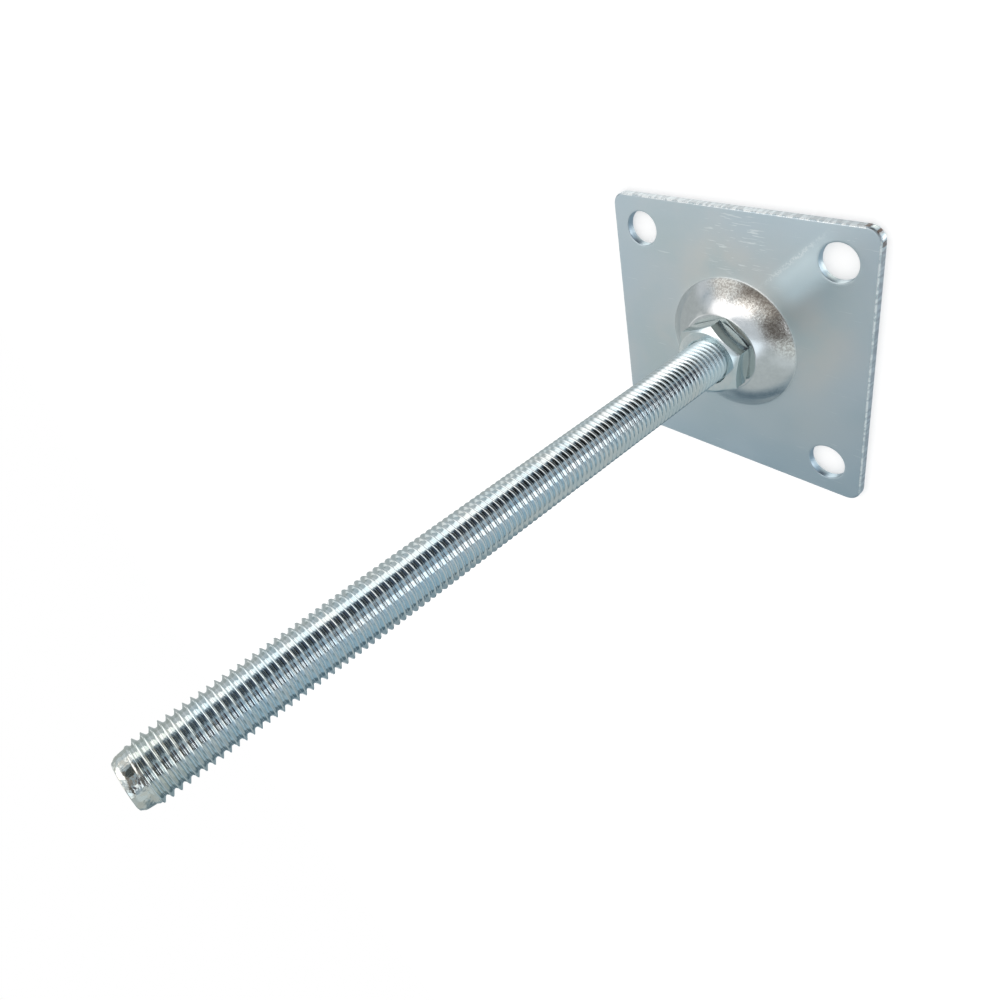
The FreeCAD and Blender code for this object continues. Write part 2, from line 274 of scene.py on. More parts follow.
def trimmed(points, clear_start, clear_stop):
    """An arc's points without those that the roundings at its two ends need."""
    first, last = Vector(points[0]), Vector(points[-1])
    middle = [
        p
        for p in points[1:-1]
        if (Vector(p) - first).length > clear_start and (Vector(p) - last).length > clear_stop
    ]
    return [points[0]] + middle + [points[-1]]


def base_plate():
    """The sheet: its dome, its sheared rim, four punched holes, and the flat between them."""
    shell = Shell()
    profile = dome_profile()
    loops = [shell.loop(circle(r, z, DOME_COUNT)) for r, z in profile]
    for outer, inner in zip(loops, loops[1:]):
        shell.bridge(outer, inner)
    dome_top, dome_under = loops[0], loops[-1]

    rim_section = rounded(
        [
            (ROLLED_OVER * 2, SHEET),
            (ROLLED_OVER, SHEET),
            (0, SHEET - ROLLED_OVER),
            (0, 0),
            (ROLLED_OVER * 2, 0),
        ],
        {1: SLOPE_TOP_ROUNDING, 2: SLOPE_FOOT_ROUNDING, 3: SHEARED_ROUNDING},
        steps=4,
    )
    rim = [
        shell.loop([(p.x, p.y, level) for p in plate_outline(inset)])
        for inset, level in rim_section
    ]
    for upper, lower in zip(rim, rim[1:]):
        shell.bridge(lower, upper)

    tops, unders = [], []
    edge = PUNCHED_ROUNDING
    hole_section = rounded(
        [(edge * 3, SHEET), (0, SHEET), (0, 0), (edge * 3, 0)], {1: edge, 2: edge}, steps=4
    )
    for across in (-HOLE_OFFSET, HOLE_OFFSET):
        for along in (-HOLE_OFFSET, HOLE_OFFSET):
            rings = [
                shell.loop(circle(HOLE_RADIUS + inset, level, HOLE_COUNT, across, along))
                for inset, level in hole_section
            ]
            for upper, lower in zip(rings, rings[1:]):
                shell.bridge(upper, lower)
            tops.append(rings[0])
            unders.append(rings[-1])
    flat_with_holes(shell, [rim[0]] + tops + [dome_top], True)
    flat_with_holes(shell, [rim[-1]] + unders + [dome_under], False)
    return shell.mesh("pressed_plate")


# Thread

ROUND_COUNT = 64  # points round the rod
# Where the points of one pitch of the thread lie, as shares of the pitch from a crest
THREAD_POINTS = [0, 0.05, 0.10, 0.13, 0.33, 0.38, 0.44, 0.5, 0.56, 0.62, 0.67, 0.87, 0.90, 0.95]
THREAD_DEPTH = CREST_RADIUS - ROOT_RADIUS
FLANK_FOOT = 0.397  # of a pitch from the crest, where the straight flank would reach the root
SOFTNESS = 0.2  # of the thread's depth, how soon its crest and root round off


def soft_limit(value, limit, sign):
    """The lesser (sign 1) or the greater (sign -1) of two values, with a rounded corner."""
    share = min(1.0, max(0.0, 0.5 + 0.5 * sign * (limit - value) / SOFTNESS))
    return limit + (value - limit) * share - sign * SOFTNESS * share * (1 - share)


def thread_height(share):
    """The thread's height at a share of the pitch from its crest, as a share of its depth."""
    from_crest = min(share, 1 - share)
    flank = (FLANK_FOOT - from_crest) * PITCH * FLANK_SLOPE / THREAD_DEPTH
    return soft_limit(soft_limit(flank, 1.0, 1), 0.0, -1)


THREAD_SECTION = [(share, thread_height(share)) for share in THREAD_POINTS]


def smooth_step(value):
    value = min(1.0, max(0.0, value))
    return value * value * (3 - 2 * value)


def helix_grid(shell, count, low, high, radius_at, section):
    """A threaded surface between two levels. Its rows follow the helix, right-handed, and
    it starts and ends in a level ring. Returns the lowest and the highest ring."""
    steps = len(section)
    first = math.floor(low / PITCH - THREAD_PHASE) - 2
    last = math.ceil(high / PITCH - THREAD_PHASE) + 1
    columns = []
    for i in range(count):
        angle = TURN * i / count
        column = []
        for turn in range(first, last):
            for share, height in section:
                level = (turn + share + i / count + THREAD_PHASE) * PITCH
                clipped = min(high, max(low, level))
                radius = radius_at(height, clipped)
                if column and clipped in (low, high) and clipped == column[-1][1]:
                    column.append(column[-1])
                    continue
                place = (radius * math.cos(angle), radius * math.sin(angle), clipped)
                column.append((shell.loop([place])[0], clipped))
        columns.append([number for number, level in column])
    rows = len(columns[0])
    for i in range(count):
        here = columns[i]
        step = 0 if i + 1 < count else steps
        following = columns[(i + 1) % count]
        for row in range(rows - 1):
            if row + 1 + step >= rows:
                corners = [here[row], following[-1], following[-1], here[row + 1]]
            else:
                corners = [here[row], following[row + step], following[row + 1 + step], here[row + 1]]
            face = list(dict.fromkeys(corners))
            if len(face) > 2:
                shell.faces.append(tuple(face))
    if columns[0][0] != columns[0][steps]:
        raise RuntimeError("the helix does not start in a level ring")
    return [c[0] for c in columns], [c[-1] for c in columns]


def threaded_rod():
    """The rod: the head under the dome, the thread and the bevelled free end."""
    shell = Shell()
    bearing = SEAT_LEVEL - SHEET
    thread_start = bearing + NECK_LENGTH
    thread_end = ROD_END - TIP_LENGTH

    def radius_at(height, level):
        rolled = ROOT_RADIUS + THREAD_DEPTH * height
        share = smooth_step((thread_end - level) / (0.5 * PITCH))
        share *= smooth_step((level - thread_start) / PITCH)
        return BLANK_RADIUS + (rolled - BLANK_RADIUS) * share

    lowest, highest = helix_grid(
        shell, ROUND_COUNT, thread_start, thread_end, radius_at, THREAD_SECTION
    )
    head = rounded(
        [
            (HEAD_RADIUS - HEAD_BEVEL - END_FACE_INSET, HEAD_FLOOR),
            (HEAD_RADIUS - HEAD_BEVEL, HEAD_FLOOR),
            (HEAD_RADIUS, HEAD_FLOOR + HEAD_BEVEL),
            (HEAD_RADIUS, bearing),
            (BLANK_RADIUS, bearing),
            (BLANK_RADIUS, thread_start),
        ],
        {1: HEAD_ROUNDING, 2: HEAD_ROUNDING, 3: BEARING_ROUNDING, 4: NECK_ROUNDING},
    )
    rings = [shell.loop(circle(r, z, ROUND_COUNT)) for r, z in head[:-1]] + [lowest]
    for lower, upper in zip(rings, rings[1:]):
        shell.bridge(lower, upper)
    shell.cap(rings[0], (0, 0, HEAD_FLOOR), flip=True)

    tip = rounded(
        [
            (BLANK_RADIUS, thread_end),
            (TIP_RADIUS, thread_end + TIP_SHOULDER),
            (TIP_END_RADIUS, ROD_END - TIP_BEVEL_HEIGHT),
            (TIP_END_RADIUS - TIP_BEVEL_WIDTH, ROD_END),
            (TIP_END_RADIUS - END_FACE_INSET, ROD_END),
        ],
        {1: TIP_ROUNDING, 2: TIP_BEND_ROUNDING, 3: TIP_ROUNDING},
    )
    rings = [highest] + [shell.loop(circle(r, z, ROUND_COUNT)) for r, z in tip[1:]]
    for lower, upper in zip(rings, rings[1:]):
        shell.bridge(lower, upper)
    shell.cap(rings[-1], (0, 0, ROD_END))
    return shell.mesh("rolled_rod", sharp_degrees=50)


# Nut

CORNER_STEPS = 4  # round each corner of the nut
SIDE_STEPS = 12  # along each of its sides


def hexagon_outline(rounding):
    """The nut's outline from above, as points on a hexagon with slightly round corners."""
    corner_radius = NUT_FLAT_RADIUS / math.cos(TURN / 12)
    points = []
    for k in range(6):
        a = NUT_CORNER_ANGLE + k * TURN / 6
        corner = Vector((corner_radius * math.cos(a), corner_radius * math.sin(a)))
        centre = corner * (1 - rounding / (math.cos(TURN / 12) * corner_radius))
        for i in range(CORNER_STEPS + 1):
            b = a - TURN / 12 + TURN / 6 * i / CORNER_STEPS
            points.append(centre + Vector((math.cos(b), math.sin(b))) * rounding)
        b = a + TURN / 6
        following = Vector((corner_radius * math.cos(b), corner_radius * math.sin(b)))
        start = points[-1]
        along = following - corner
        reach = rounding * math.tan(TURN / 12) / along.length
        for i in range(1, SIDE_STEPS):
            share = reach + (1 - 2 * reach) * i / SIDE_STEPS
            points.append(corner + along * share)
    return points


def lock_nut():
    """The nut: six sides with a bevel at each face, and a threaded bore."""
    shell = Shell()
    outline = hexagon_outline(NUT_CORNER_ROUNDING)
    count = len(outline)
    edge = NUT_EDGE_ROUNDING

    def section(radius):
        drop = (radius - NUT_FACE_RADIUS) * NUT_BEVEL_SLOPE
        return rounded(
            [
                (NUT_FACE_INNER_RADIUS, NUT_TOP),
                (NUT_FACE_RADIUS, NUT_TOP),
                (radius, NUT_TOP - drop),
                (radius, NUT_BOTTOM + drop),
                (NUT_FACE_RADIUS, NUT_BOTTOM),
                (NUT_FACE_INNER_RADIUS, NUT_BOTTOM),
            ],
            {1: edge, 2: edge, 3: edge, 4: edge},
            steps=3,
        )

    sections = [section(p.length) for p in outline]
    rings = []
    for step in range(len(sections[0])):
        ring = []
        for point, profile in zip(outline, sections):
            radius, level = profile[step]
            way = point.normalized()
            ring.append((way.x * radius, way.y * radius, level))
        rings.append(shell.loop(ring))
    for upper, lower in zip(rings, rings[1:]):
        shell.bridge(lower, upper)

    def radius_at(height, level):
        depth = NUT_GROOVE_RADIUS - NUT_MINOR_RADIUS
        cut = NUT_MINOR_RADIUS + depth * max(0.0, (height - NUT_CREST_SHARE) / (1 - NUT_CREST_SHARE))
        from_face = min(NUT_TOP - level, level - NUT_BOTTOM)
        return max(cut + NUT_THREAD_GAP, NUT_MOUTH_RADIUS - from_face)

    inner = Shell()
    lowest, highest = helix_grid(inner, count, NUT_BOTTOM, NUT_TOP, radius_at, THREAD_SECTION)
    base = len(shell.points)
    shell.points += inner.points
    shell.faces += [tuple(base + n for n in reversed(face)) for face in inner.faces]
    lowest = [base + n for n in lowest]
    highest = [base + n for n in highest]
    flat_ring(shell, rings[0], highest, True)
    flat_ring(shell, rings[-1], lowest, False)
    return shell.mesh("thin_nut", sharp_degrees=35)


def flat_ring(shell, outside, inside, upward):
    """Joins two level loops round the axis whose points lie at unlike angles."""

    def angle_of(number):
        x, y, _ = shell.points[number]
        return math.atan2(y, x) % TURN

    outer = sorted(outside, key=angle_of)
    inner = sorted(inside, key=angle_of)
    i = j = 0
    while i < len(outer) or j < len(inner):
        a, b = outer[i % len(outer)], inner[j % len(inner)]
        next_a, next_b = outer[(i + 1) % len(outer)], inner[(j + 1) % len(inner)]
        reach_a = angle_of(next_a) + (TURN if i + 1 >= len(outer) else 0)
        reach_b = angle_of(next_b) + (TURN if j + 1 >= len(inner) else 0)
        if j >= len(inner) or (i < len(outer) and reach_a <= reach_b):
            face = (a, next_a, b)
            i += 1
        else:
            face = (a, next_b, b)
            j += 1
        shell.faces.append(face if upward else face[::-1])


# Materials

RUBBED_PLACE = (2 * MM, 38 * MM)  # the middle of a scratched patch of the sheet
NICK_PLACE = (40.6 * MM, 46.5 * MM)  # the middle of a small worn spot
PAINTED_STREAK_OFFSET = 5 * MM  # how far y is past x along the painted highlight streak
GLINT_LINE_OFFSET = 13 * MM  # and along its line of painted glints


class Nodes:
    """Adds shader nodes to a tree and joins them as they are made."""

    def __init__(self, tree):
        self.tree = tree

    def add(self, kind, inputs=None, output=0, **settings):
        """A node with its settings and inputs, each a value or the output of another node."""
        node = self.tree.nodes.new(kind)
        for name, value in settings.items():
            setattr(node, name, value)
        for name, value in (inputs or {}).items():
            if isinstance(value, bpy.types.NodeSocket):
                self.tree.links.new(value, node.inputs[name])
            else:
                node.inputs[name].default_value = value
        return node.outputs[output]

    def math(self, operation, first, second=0.0):
        return self.add("ShaderNodeMath", {0: first, 1: second}, operation=operation)

    def step(self, value, low, high, to_low=0.0, to_high=1.0):
        """Rises or falls smoothly from one value to another between low and high."""
        ends = {"Value": value, "From Min": low, "From Max": high}
        ends.update({"To Min": to_low, "To Max": to_high})
        return self.add("ShaderNodeMapRange", ends, interpolation_type="SMOOTHSTEP")

    def mix(self, share, first, second):
        """A colour between two others."""
        inputs = {0: share, 6: first, 7: second}
        return self.add("ShaderNodeMix", inputs, output=2, data_type="RGBA")

    def noise(self, place, scale, detail=3.0, roughness=0.5):
        inputs = {"Vector": place, "Scale": scale, "Detail": detail, "Roughness": roughness}
        return self.add("ShaderNodeTexNoise", inputs)

    def stretched(self, place, across, along, up):
        """The place, scaled by its own factor along each axis."""
        scale = (across, along, up)
        return self.add("ShaderNodeMapping", {"Vector": place, "Scale": scale})

    def distance(self, place, x, y):
        """The distance of a place from an upright line."""
        level = self.add("ShaderNodeVectorMath", {0: place, 1: (1, 1, 0)}, operation="MULTIPLY")
        ends = {0: level, 1: (x, y, 0)}
        return self.add("ShaderNodeVectorMath", ends, output=1, operation="DISTANCE")


def new_metal(name):
    """A metal shader, the nodes to dress it with, and the object's own coordinates."""
    material = bpy.data.materials.new(name)
    material.use_nodes = True
    shader = material.node_tree.nodes["Principled BSDF"]
    shader.inputs["Metallic"].default_value = 1.0
    nodes = Nodes(material.node_tree)
    place = nodes.add("ShaderNodeTexCoord", output=3)
    return material, shader, nodes, place


def dress(nodes, shader, colour, roughness, height, strength):
    """Gives a metal its colour, its haze and its fine relief."""
    links = nodes.tree.links
    links.new(colour, shader.inputs["Base Color"])
    links.new(roughness, shader.inputs["Roughness"])
    inputs = {"Strength": strength, "Distance": 0.1 * MM, "Height": height}
    links.new(nodes.add("ShaderNodeBump", inputs), shader.inputs["Normal"])


def flat_tone(nodes, place, y, reach, clouds):
    """The sheet's tone: cloudy, and bluer near its edges and towards -Y."""
    wide = nodes.step(nodes.noise(place, 17, 2), 0.38, 0.62)
    tone = nodes.mix(clouds, (0.58, 0.65, 0.66, 1), (0.68, 0.68, 0.66, 1))
    tone = nodes.mix(nodes.math("MULTIPLY", wide, 0.7), tone, (0.55, 0.64, 0.69, 1))
    near_edge = nodes.step(reach, 32 * MM, 50 * MM, 0.0, 0.4)
    tone = nodes.mix(near_edge, tone, (0.54, 0.64, 0.72, 1))
    minus_y = nodes.step(y, -20 * MM, -52 * MM, 0.0, 0.55)
    return nodes.mix(minus_y, tone, (0.51, 0.63, 0.71, 1))


def with_painted_streak(nodes, place, x, y, tone):
    """The tone with a painted highlight streak from the dome to the hole at +X +Y, and a line
    of painted glints along the streak's side."""
    beside = nodes.math("SUBTRACT", y, x)
    out = nodes.math("ADD", x, y)
    begin = nodes.step(out, 32 * MM, 50 * MM)
    along = nodes.math("MULTIPLY", begin, nodes.step(out, 86 * MM, 62 * MM))
    from_painted_streak = nodes.math("ABSOLUTE", nodes.math("SUBTRACT", beside, PAINTED_STREAK_OFFSET))
    painted_streak = nodes.math("MULTIPLY", nodes.step(from_painted_streak, 12 * MM, 3 * MM, 0.0, 0.75), along)
    tone = nodes.mix(painted_streak, tone, (0.84, 0.95, 0.99, 1))
    from_glint_line = nodes.math("ABSOLUTE", nodes.math("SUBTRACT", beside, GLINT_LINE_OFFSET))
    painted_glint_dots = nodes.step(nodes.noise(place, 1200, 3, 0.7), 0.42, 0.60)
    line = nodes.math("MULTIPLY", nodes.step(from_glint_line, 1.7 * MM, 0.4 * MM, 0.0, 0.6), painted_glint_dots)
    return nodes.mix(nodes.math("MULTIPLY", line, along), tone, (0.95, 0.99, 1.0, 1))


def scratch_mask(nodes, place):
    """A few scratches all over, and many on the rubbed patch and at the nick."""
    few = nodes.step(nodes.noise(nodes.stretched(place, 90, 2600, 90), 1.0, 2), 0.70, 0.76)
    many = nodes.step(nodes.noise(nodes.stretched(place, 170, 1500, 90), 1.0, 2), 0.60, 0.66)
    rubbed = nodes.step(nodes.distance(place, *RUBBED_PLACE), 16 * MM, 8 * MM, 0.0, 0.5)
    nick = nodes.step(nodes.distance(place, *NICK_PLACE), 3.5 * MM, 2 * MM)
    worn = nodes.math("MULTIPLY", many, nodes.math("MAXIMUM", rubbed, nick))
    return nodes.math("MAXIMUM", nodes.math("MULTIPLY", few, 0.4), worn)


def grain_mask(nodes, x, y, from_rod):
    """The grainy band that the pressing left low on the dome, on its side towards +X +Y."""
    aside = nodes.math("MULTIPLY", x, 0.55)
    drawn_side = nodes.math("ADD", aside, nodes.math("MULTIPLY", y, 0.84))
    low_down = nodes.step(from_rod, 16.5 * MM, 21 * MM)
    return nodes.math("MULTIPLY", nodes.step(drawn_side, 11 * MM, 18 * MM), low_down)


def dome_tone(nodes, place, mottle, grainy):
    """The dome's tone: mottled, and in its grainy band speckled with tarnish and painted glints."""
    plain = nodes.mix(mottle, (0.75, 0.75, 0.75, 1), (0.79, 0.79, 0.79, 1))
    fine = nodes.step(nodes.noise(place, 1300, 4, 0.75), 0.42, 0.58)
    # The band's specks run from dark tarnish to near-white painted glints.
    tarnish_and_painted_glints = nodes.mix(fine, (0.58, 0.54, 0.50, 1), (0.94, 0.92, 0.87, 1))
    return nodes.mix(grainy, plain, tarnish_and_painted_glints)


def side_tone(nodes, sheared, from_corner):
    """The sheared side's tone, with rust round the corner at +X +Y."""
    tone = nodes.mix(sheared, (0.60, 0.62, 0.63, 1), (0.78, 0.81, 0.82, 1))
    at_corner = nodes.step(from_corner, 9 * MM, 4 * MM)
    rust = nodes.math("MULTIPLY", at_corner, nodes.step(sheared, 0.9, 0.2))
    return nodes.mix(rust, tone, (0.30, 0.23, 0.20, 1))


def sheet_zinc():
    """Zinc on rolled sheet: hazy and bluish with faint streaks, brighter on the dome, where
    the pressing left a grainy band with painted glints, and dull on the sheared sides. A painted
    highlight streak crosses the flat, and a painted highlight runs along the upper edge."""
    material, shader, nodes, place = new_metal("sheet_zinc")
    parts = nodes.add("ShaderNodeSeparateXYZ", {0: place}).node.outputs
    x, y = parts[0], parts[1]
    reach = nodes.math("MAXIMUM", nodes.math("ABSOLUTE", x), nodes.math("ABSOLUTE", y))
    from_rod = nodes.distance(place, 0, 0)
    from_corner = nodes.distance(place, PLATE_HALF, PLATE_HALF)

    clouds = nodes.step(nodes.noise(place, 38, 4), 0.35, 0.65)
    streaks = nodes.noise(nodes.stretched(place, 25, 420, 25), 1.0, 4, 0.65)
    speckle = nodes.noise(place, 900, 3, 0.7)
    mottle = nodes.step(nodes.noise(place, 520, 4, 0.7), 0.40, 0.62)
    sheared = nodes.step(nodes.noise(nodes.stretched(place, 700, 700, 160), 1.0, 3), 0.40, 0.60)
    scratches = scratch_mask(nodes, place)
    grainy = grain_mask(nodes, x, y, from_rod)

    on_dome = nodes.step(from_rod, 25.3 * MM, 24.3 * MM)
    on_arris = nodes.step(reach, PLATE_HALF - ROLLED_OVER - 0.3 * MM, PLATE_HALF - ROLLED_OVER)
    on_side = nodes.step(reach, PLATE_HALF - 0.12 * MM, PLATE_HALF - 0.03 * MM)
    on_side = nodes.math("MAXIMUM", on_side, nodes.step(from_corner, 2.4 * MM, 2.2 * MM))
    # A paler tone along the arris of the upper edge, broken by the sheared noise, is a painted
    # highlight.
    painted_arris_highlight = nodes.math("MULTIPLY", on_arris, nodes.step(sheared, 0.0, 0.8, 0.1, 0.9))

    # A bright streak of painted highlight, with a line of painted glints, crosses the flat sheet.
    tone = with_painted_streak(nodes, place, x, y, flat_tone(nodes, place, y, reach, clouds))
    tone = nodes.mix(scratches, tone, (0.93, 0.96, 0.96, 1))
    tone = nodes.mix(on_dome, tone, dome_tone(nodes, place, mottle, grainy))
    tone = nodes.mix(painted_arris_highlight, tone, (0.95, 0.97, 0.97, 1))
    tone = nodes.mix(on_side, tone, side_tone(nodes, sheared, from_corner))

    haze = nodes.math("ADD", nodes.math("MULTIPLY", clouds, 0.06), 0.27)
    haze = nodes.math("ADD", haze, nodes.math("MULTIPLY", streaks, 0.10))
    dome_haze = nodes.math("ADD", nodes.math("MULTIPLY", mottle, 0.04), 0.16)
    dome_haze = nodes.math("ADD", dome_haze, nodes.math("MULTIPLY", grainy, 0.03))
    haze = nodes.add("ShaderNodeMix", {0: on_dome, 2: haze, 3: dome_haze})
    haze = nodes.math("ADD", haze, nodes.math("MULTIPLY", on_arris, -0.12))
    haze = nodes.math("ADD", haze, nodes.math("MULTIPLY", on_side, 0.24))

    dome_grain = nodes.math("MULTIPLY", grainy, on_dome)
    grain = nodes.math("MULTIPLY", nodes.noise(place, 1100, 3, 0.6), dome_grain)
    rolled = nodes.math("MULTIPLY", streaks, 0.5)
    height = nodes.math("ADD", nodes.math("MULTIPLY", speckle, 0.25), rolled)
    height = nodes.math("ADD", height, nodes.math("MULTIPLY", grain, 1.8))
    height = nodes.math("ADD", height, nodes.math("MULTIPLY", scratches, -0.4))
    dress(nodes, shader, tone, haze, height, 0.3)
    return material


def rod_zinc():
    """Bright bluish zinc on the rolled thread, hazy on its first turns, which get a paler painted
    light, with a yellow tinge and brown patches of painted reflection at the free end."""
    material, shader, nodes, place = new_metal("rod_zinc")
    clouds = nodes.step(nodes.noise(place, 160, 3), 0.35, 0.65)
    speckle = nodes.noise(place, 1500, 2, 0.6)
    tone = nodes.mix(clouds, (0.72, 0.79, 0.81, 1), (0.80, 0.82, 0.81, 1))
    z = nodes.add("ShaderNodeSeparateXYZ", {0: place}, output=2)
    thread_end = ROD_END - TIP_LENGTH
    on_tip = nodes.step(z, thread_end - 0.5 * MM, thread_end + 0.5 * MM)
    patches = nodes.step(nodes.noise(place, 620, 2), 0.44, 0.56)
    # The darker brown patches at the free end are a painted reflection of dark surroundings.
    painted_reflection_patches = nodes.math("MULTIPLY", nodes.math("MULTIPLY", on_tip, patches), 0.4)
    tone = nodes.mix(painted_reflection_patches, tone, (0.66, 0.58, 0.47, 1))
    yellow = nodes.step(z, ROD_END - 22 * MM, ROD_END - 4 * MM, 0.0, 0.35)
    tone = nodes.mix(yellow, tone, (0.80, 0.77, 0.66, 1))
    # On the first turns a paler blue tone is painted light; the extra haze there is roughness.
    first_turns_haze_and_painted_light = nodes.step(z, 35 * MM, 25 * MM)
    tone = nodes.mix(first_turns_haze_and_painted_light, tone, (0.78, 0.88, 0.91, 1))
    haze = nodes.math("ADD", nodes.math("MULTIPLY", speckle, 0.08), 0.05)
    haze = nodes.math("ADD", haze, nodes.math("MULTIPLY", on_tip, 0.06))
    haze = nodes.math("ADD", haze, nodes.math("MULTIPLY", first_turns_haze_and_painted_light, 0.20))
    lumps = nodes.math("MULTIPLY", nodes.noise(place, 900, 1), on_tip)
    height = nodes.math("MULTIPLY", speckle, 0.2)
    height = nodes.math("ADD", height, nodes.math("MULTIPLY", lumps, 5.0))
    dress(nodes, shader, tone, haze, height, 0.3)
    return material


def nut_zinc():
    """Bright zinc on the turned and stamped nut, with painted shade darkening its six sides."""
    material, shader, nodes, place = new_metal("nut_zinc")
    clouds = nodes.step(nodes.noise(place, 240, 3), 0.35, 0.65)
    speckle = nodes.noise(place, 1400, 2, 0.6)
    tone = nodes.mix(clouds, (0.76, 0.83, 0.84, 1), (0.85, 0.87, 0.86, 1))
    from_axis = nodes.distance(place, 0, 0)
    z = nodes.add("ShaderNodeSeparateXYZ", {0: place}, output=2)
    cone = nodes.math("ADD", z, nodes.math("MULTIPLY", from_axis, NUT_BEVEL_SLOPE))
    bevel = NUT_TOP + NUT_FACE_RADIUS * NUT_BEVEL_SLOPE
    under_bevel = nodes.step(cone, bevel - 0.05 * MM, bevel - 0.2 * MM)
    off_face = nodes.step(from_axis, NUT_FACE_RADIUS + 0.4 * MM, NUT_FACE_RADIUS + 0.6 * MM)
    on_side = nodes.math("MULTIPLY", under_bevel, off_face)
    # The darker tone on the six sides, below the top bevel, is painted shade.
    tone = nodes.mix(on_side, tone, (0.57, 0.655, 0.645, 1))
    haze = nodes.math("ADD", nodes.math("MULTIPLY", speckle, 0.12), 0.10)
    dress(nodes, shader, tone, haze, speckle, 0.12)
    return material


def finish(piece, material, node, body):
    """Gives a piece its material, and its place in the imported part."""
    piece.data.materials.append(material)
    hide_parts(node)
    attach(piece, body)


finish(base_plate(), sheet_zinc(), "base_plate", "base")
finish(threaded_rod(), rod_zinc(), "threaded_rod", "rod")
finish(lock_nut(), nut_zinc(), "lock_nut", "nut")


# Floor, light and camera

# Fitted to the plate, its holes, the rod and the thread's crests in the photo
CAMERA_PLACE = Vector((0.144255, 0.141903, 0.213599))
CAMERA_RIGHT = Vector((0.659292, -0.175626, -0.731088))
CAMERA_UP = Vector((-0.300500, 0.829759, -0.470319))
PICTURE = 1000  # pixels a side
FOCAL_PIXELS = 776.69
CENTRE_X, CENTRE_Y = 498.79, 411.45  # where the camera's axis meets the picture, in pixels
FLOOR_REACH = 3.0


def camera():
    data = bpy.data.cameras.new("camera")
    data.sensor_width = 36
    data.lens = FOCAL_PIXELS / PICTURE * data.sensor_width
    data.shift_x = (PICTURE / 2 - CENTRE_X) / PICTURE
    data.shift_y = (CENTRE_Y - PICTURE / 2) / PICTURE
    data.clip_start = 0.01
    placed = bpy.data.objects.new("camera", data)
    back = CAMERA_RIGHT.cross(CAMERA_UP)
    turn = Matrix((CAMERA_RIGHT, CAMERA_UP, back)).transposed()
    placed.matrix_world = Matrix.Translation(CAMERA_PLACE) @ turn.to_4x4()
    bpy.context.scene.collection.objects.link(placed)
    bpy.context.scene.camera = placed


def floor():
    reach = FLOOR_REACH
    corners = [(-reach, -reach, 0), (reach, -reach, 0), (reach, reach, 0), (-reach, reach, 0)]
    mesh = bpy.data.meshes.new("floor")
    mesh.from_pydata(corners, [], [(0, 1, 2, 3)])
    placed = bpy.data.objects.new("floor", mesh)
    bpy.context.scene.collection.objects.link(placed)
    material = bpy.data.materials.new("pale_floor")
    material.use_nodes = True
    shader = material.node_tree.nodes["Principled BSDF"]
    shader.inputs["Base Color"].default_value = (0.8, 0.8, 0.8, 1)
    shader.inputs["Roughness"].default_value = 1.0
    shader.inputs["Specular IOR Level"].default_value = 0.0
    shader.inputs["Emission Color"].default_value = (1, 1, 1, 1)
    shader.inputs["Emission Strength"].default_value = 0.32
    mesh.materials.append(material)
    placed.visible_glossy = False


# The studio that the metal reflects: light and dark panels with soft edges all round the
# object. Each has an azimuth and an elevation, with its half width at each, the softness of
# its edge, all in degrees, and a colour. A later panel stands in front of an earlier one.
PANELS = [
    ("pale ceiling", 0, 180, 60, 35, 8, (0.60, 0.66, 0.70)),
    ("white ceiling, left", -160, 30, 68, 22, 10, (1.5, 1.5, 1.5)),
    ("white ceiling, right", -36, 26, 76, 13, 8, (1.1, 1.25, 1.35)),
    ("white ceiling, back", 160, 25, 68, 28, 9, (1.3, 1.3, 1.3)),
    ("dark grey panel", 20, 25, 45, 18, 9, (0.11, 0.105, 0.10)),
    ("slate wall", -80, 60, 7, 48, 10, (0.25, 0.33, 0.37)),
    ("grey wall, right", -62, 40, 36, 22, 10, (0.45, 0.51, 0.52)),
    ("left wall", -165, 32, 5, 50, 14, (0.43, 0.475, 0.48)),
    ("pale wall, left", -158, 26, 38, 9, 8, (0.84, 0.88, 0.88)),
    ("brown curtain", 72, 36, 34, 10, 4, (0.24, 0.22, 0.20)),
    ("pale band", 76, 34, 47.5, 3, 2.5, (0.66, 0.64, 0.60)),
    ("softbox", 108, 38, 58, 8, 7, (1.7, 1.7, 1.7)),
    ("softbox, low", 140, 13, 46, 8, 6, (1.6, 1.6, 1.6)),
    ("pale wall, back", 155, 13, -5, 25, 8, (0.60, 0.65, 0.68)),
    ("pale column, back", 128, 18, 25, 15, 8, (0.72, 0.74, 0.74)),
    ("white column", 125, 14, -10, 22, 8, (1.6, 1.6, 1.6)),
    ("dark curtain", 80, 13, 18, 13, 9, (0.05, 0.06, 0.06)),
    ("wine red band", 29, 22, 8, 8, 5, (0.07, 0.05, 0.06)),
    ("black band", 25, 24, -4, 10, 6, (0.01, 0.01, 0.03)),
    ("dark floor", 86, 21, -25, 23, 9, (0.08, 0.10, 0.14)),
    ("black floor", 77, 22, -13, 11, 8, (0.01, 0.01, 0.01)),
    ("pale column", 17, 43, -32, 17, 8, (0.50, 0.62, 0.73)),
    ("white strip", 16, 14, -27, 13, 7, (1.8, 1.9, 2.0)),
    ("white floor, front", 8, 29, -72, 18, 12, (1.8, 1.85, 1.8)),
    ("white floor, right", 86, 33, -63, 10, 8, (1.4, 1.4, 1.3)),
    ("white floor, back", 152, 28, -46, 14, 6, (1.3, 1.35, 1.35)),
    ("light blue floor", -50, 28, -18, 14, 10, (0.42, 0.57, 0.67)),
    ("bright blue wall", -25, 19, 26, 20, 11, (0.58, 0.65, 0.67)),
    ("dark line", -92, 20, -3, 13, 10, (0.12, 0.18, 0.22)),
    ("white lamp", 17, 9, 27, 7, 5, (1.2, 1.3, 1.4)),
    ("grey wall over the plate", -133, 17, 47, 8, 6, (0.44, 0.49, 0.50)),
    ("white lamp, left", -137, 12, 8, 8, 4, (1.2, 1.2, 1.2)),
]
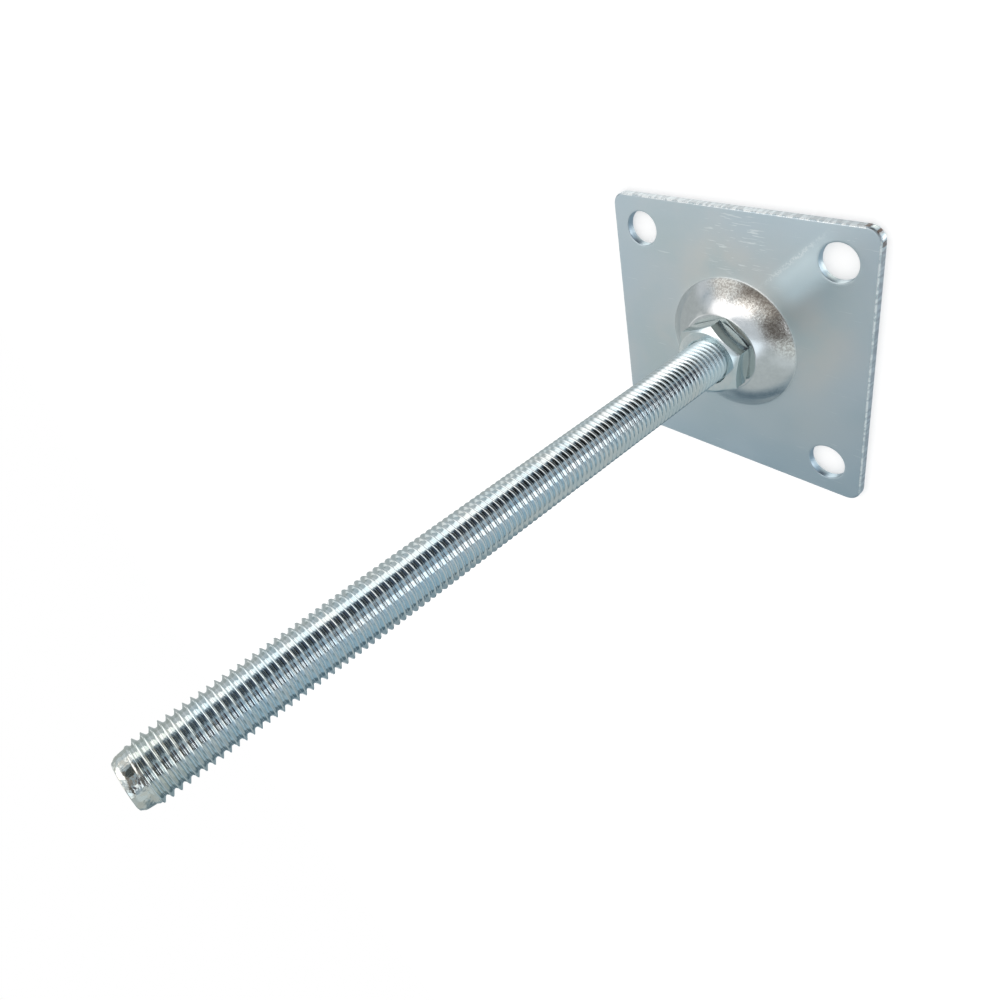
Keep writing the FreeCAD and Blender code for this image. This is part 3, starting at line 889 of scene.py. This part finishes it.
DARK_CEILING = (-102, 76, 12, 6, (0.02, 0.02, 0.02))  # a disc at an azimuth and an elevation
BETWEEN_PANELS = (0.32, 0.40, 0.46)


def studio():
    """Lights the scene with plain white, and shows the panels to reflections alone."""
    world = bpy.data.worlds.new("studio")
    bpy.context.scene.world = world
    world.use_nodes = True
    nodes = Nodes(world.node_tree)
    way = nodes.add("ShaderNodeTexCoord", output=0)
    parts = nodes.add("ShaderNodeSeparateXYZ", {0: way}).node.outputs
    azimuth = nodes.math("DEGREES", nodes.math("ARCTAN2", parts[1], parts[0]))
    elevation = nodes.math("DEGREES", nodes.math("ARCSINE", parts[2]))
    light = (*BETWEEN_PANELS, 1)

    def within(value, half, soft):
        return nodes.step(nodes.math("ABSOLUTE", value), half + soft / 2, half - soft / 2)

    for _, at_azimuth, half_azimuth, at_elevation, half_elevation, soft, colour in PANELS:
        turned = nodes.math("SUBTRACT", azimuth, at_azimuth)
        wrap = {0: turned, 1: -180.0, 2: 180.0}
        turned = nodes.add("ShaderNodeMath", wrap, operation="WRAP")
        across = within(turned, half_azimuth, soft)
        up = within(nodes.math("SUBTRACT", elevation, at_elevation), half_elevation, soft)
        light = nodes.mix(nodes.math("MULTIPLY", across, up), light, (*colour, 1))
    at_azimuth, at_elevation, radius, soft, colour = DARK_CEILING
    a, e = math.radians(at_azimuth), math.radians(at_elevation)
    aim = (math.cos(a) * math.cos(e), math.sin(a) * math.cos(e), math.sin(e))
    ends = {0: way, 1: aim}
    along = nodes.add("ShaderNodeVectorMath", ends, output=1, operation="DOT_PRODUCT")
    off = nodes.math("DEGREES", nodes.math("ARCCOSINE", along))
    light = nodes.mix(within(off, radius, soft), light, (*colour, 1))

    reflected = nodes.add("ShaderNodeLightPath").node.outputs["Is Glossy Ray"]
    light = nodes.mix(reflected, (1, 1, 1, 1), light)
    world.node_tree.links.new(light, world.node_tree.nodes["Background"].inputs["Color"])


camera()
floor()
studio()
bpy.context.scene.view_settings.view_transform = "Standard"
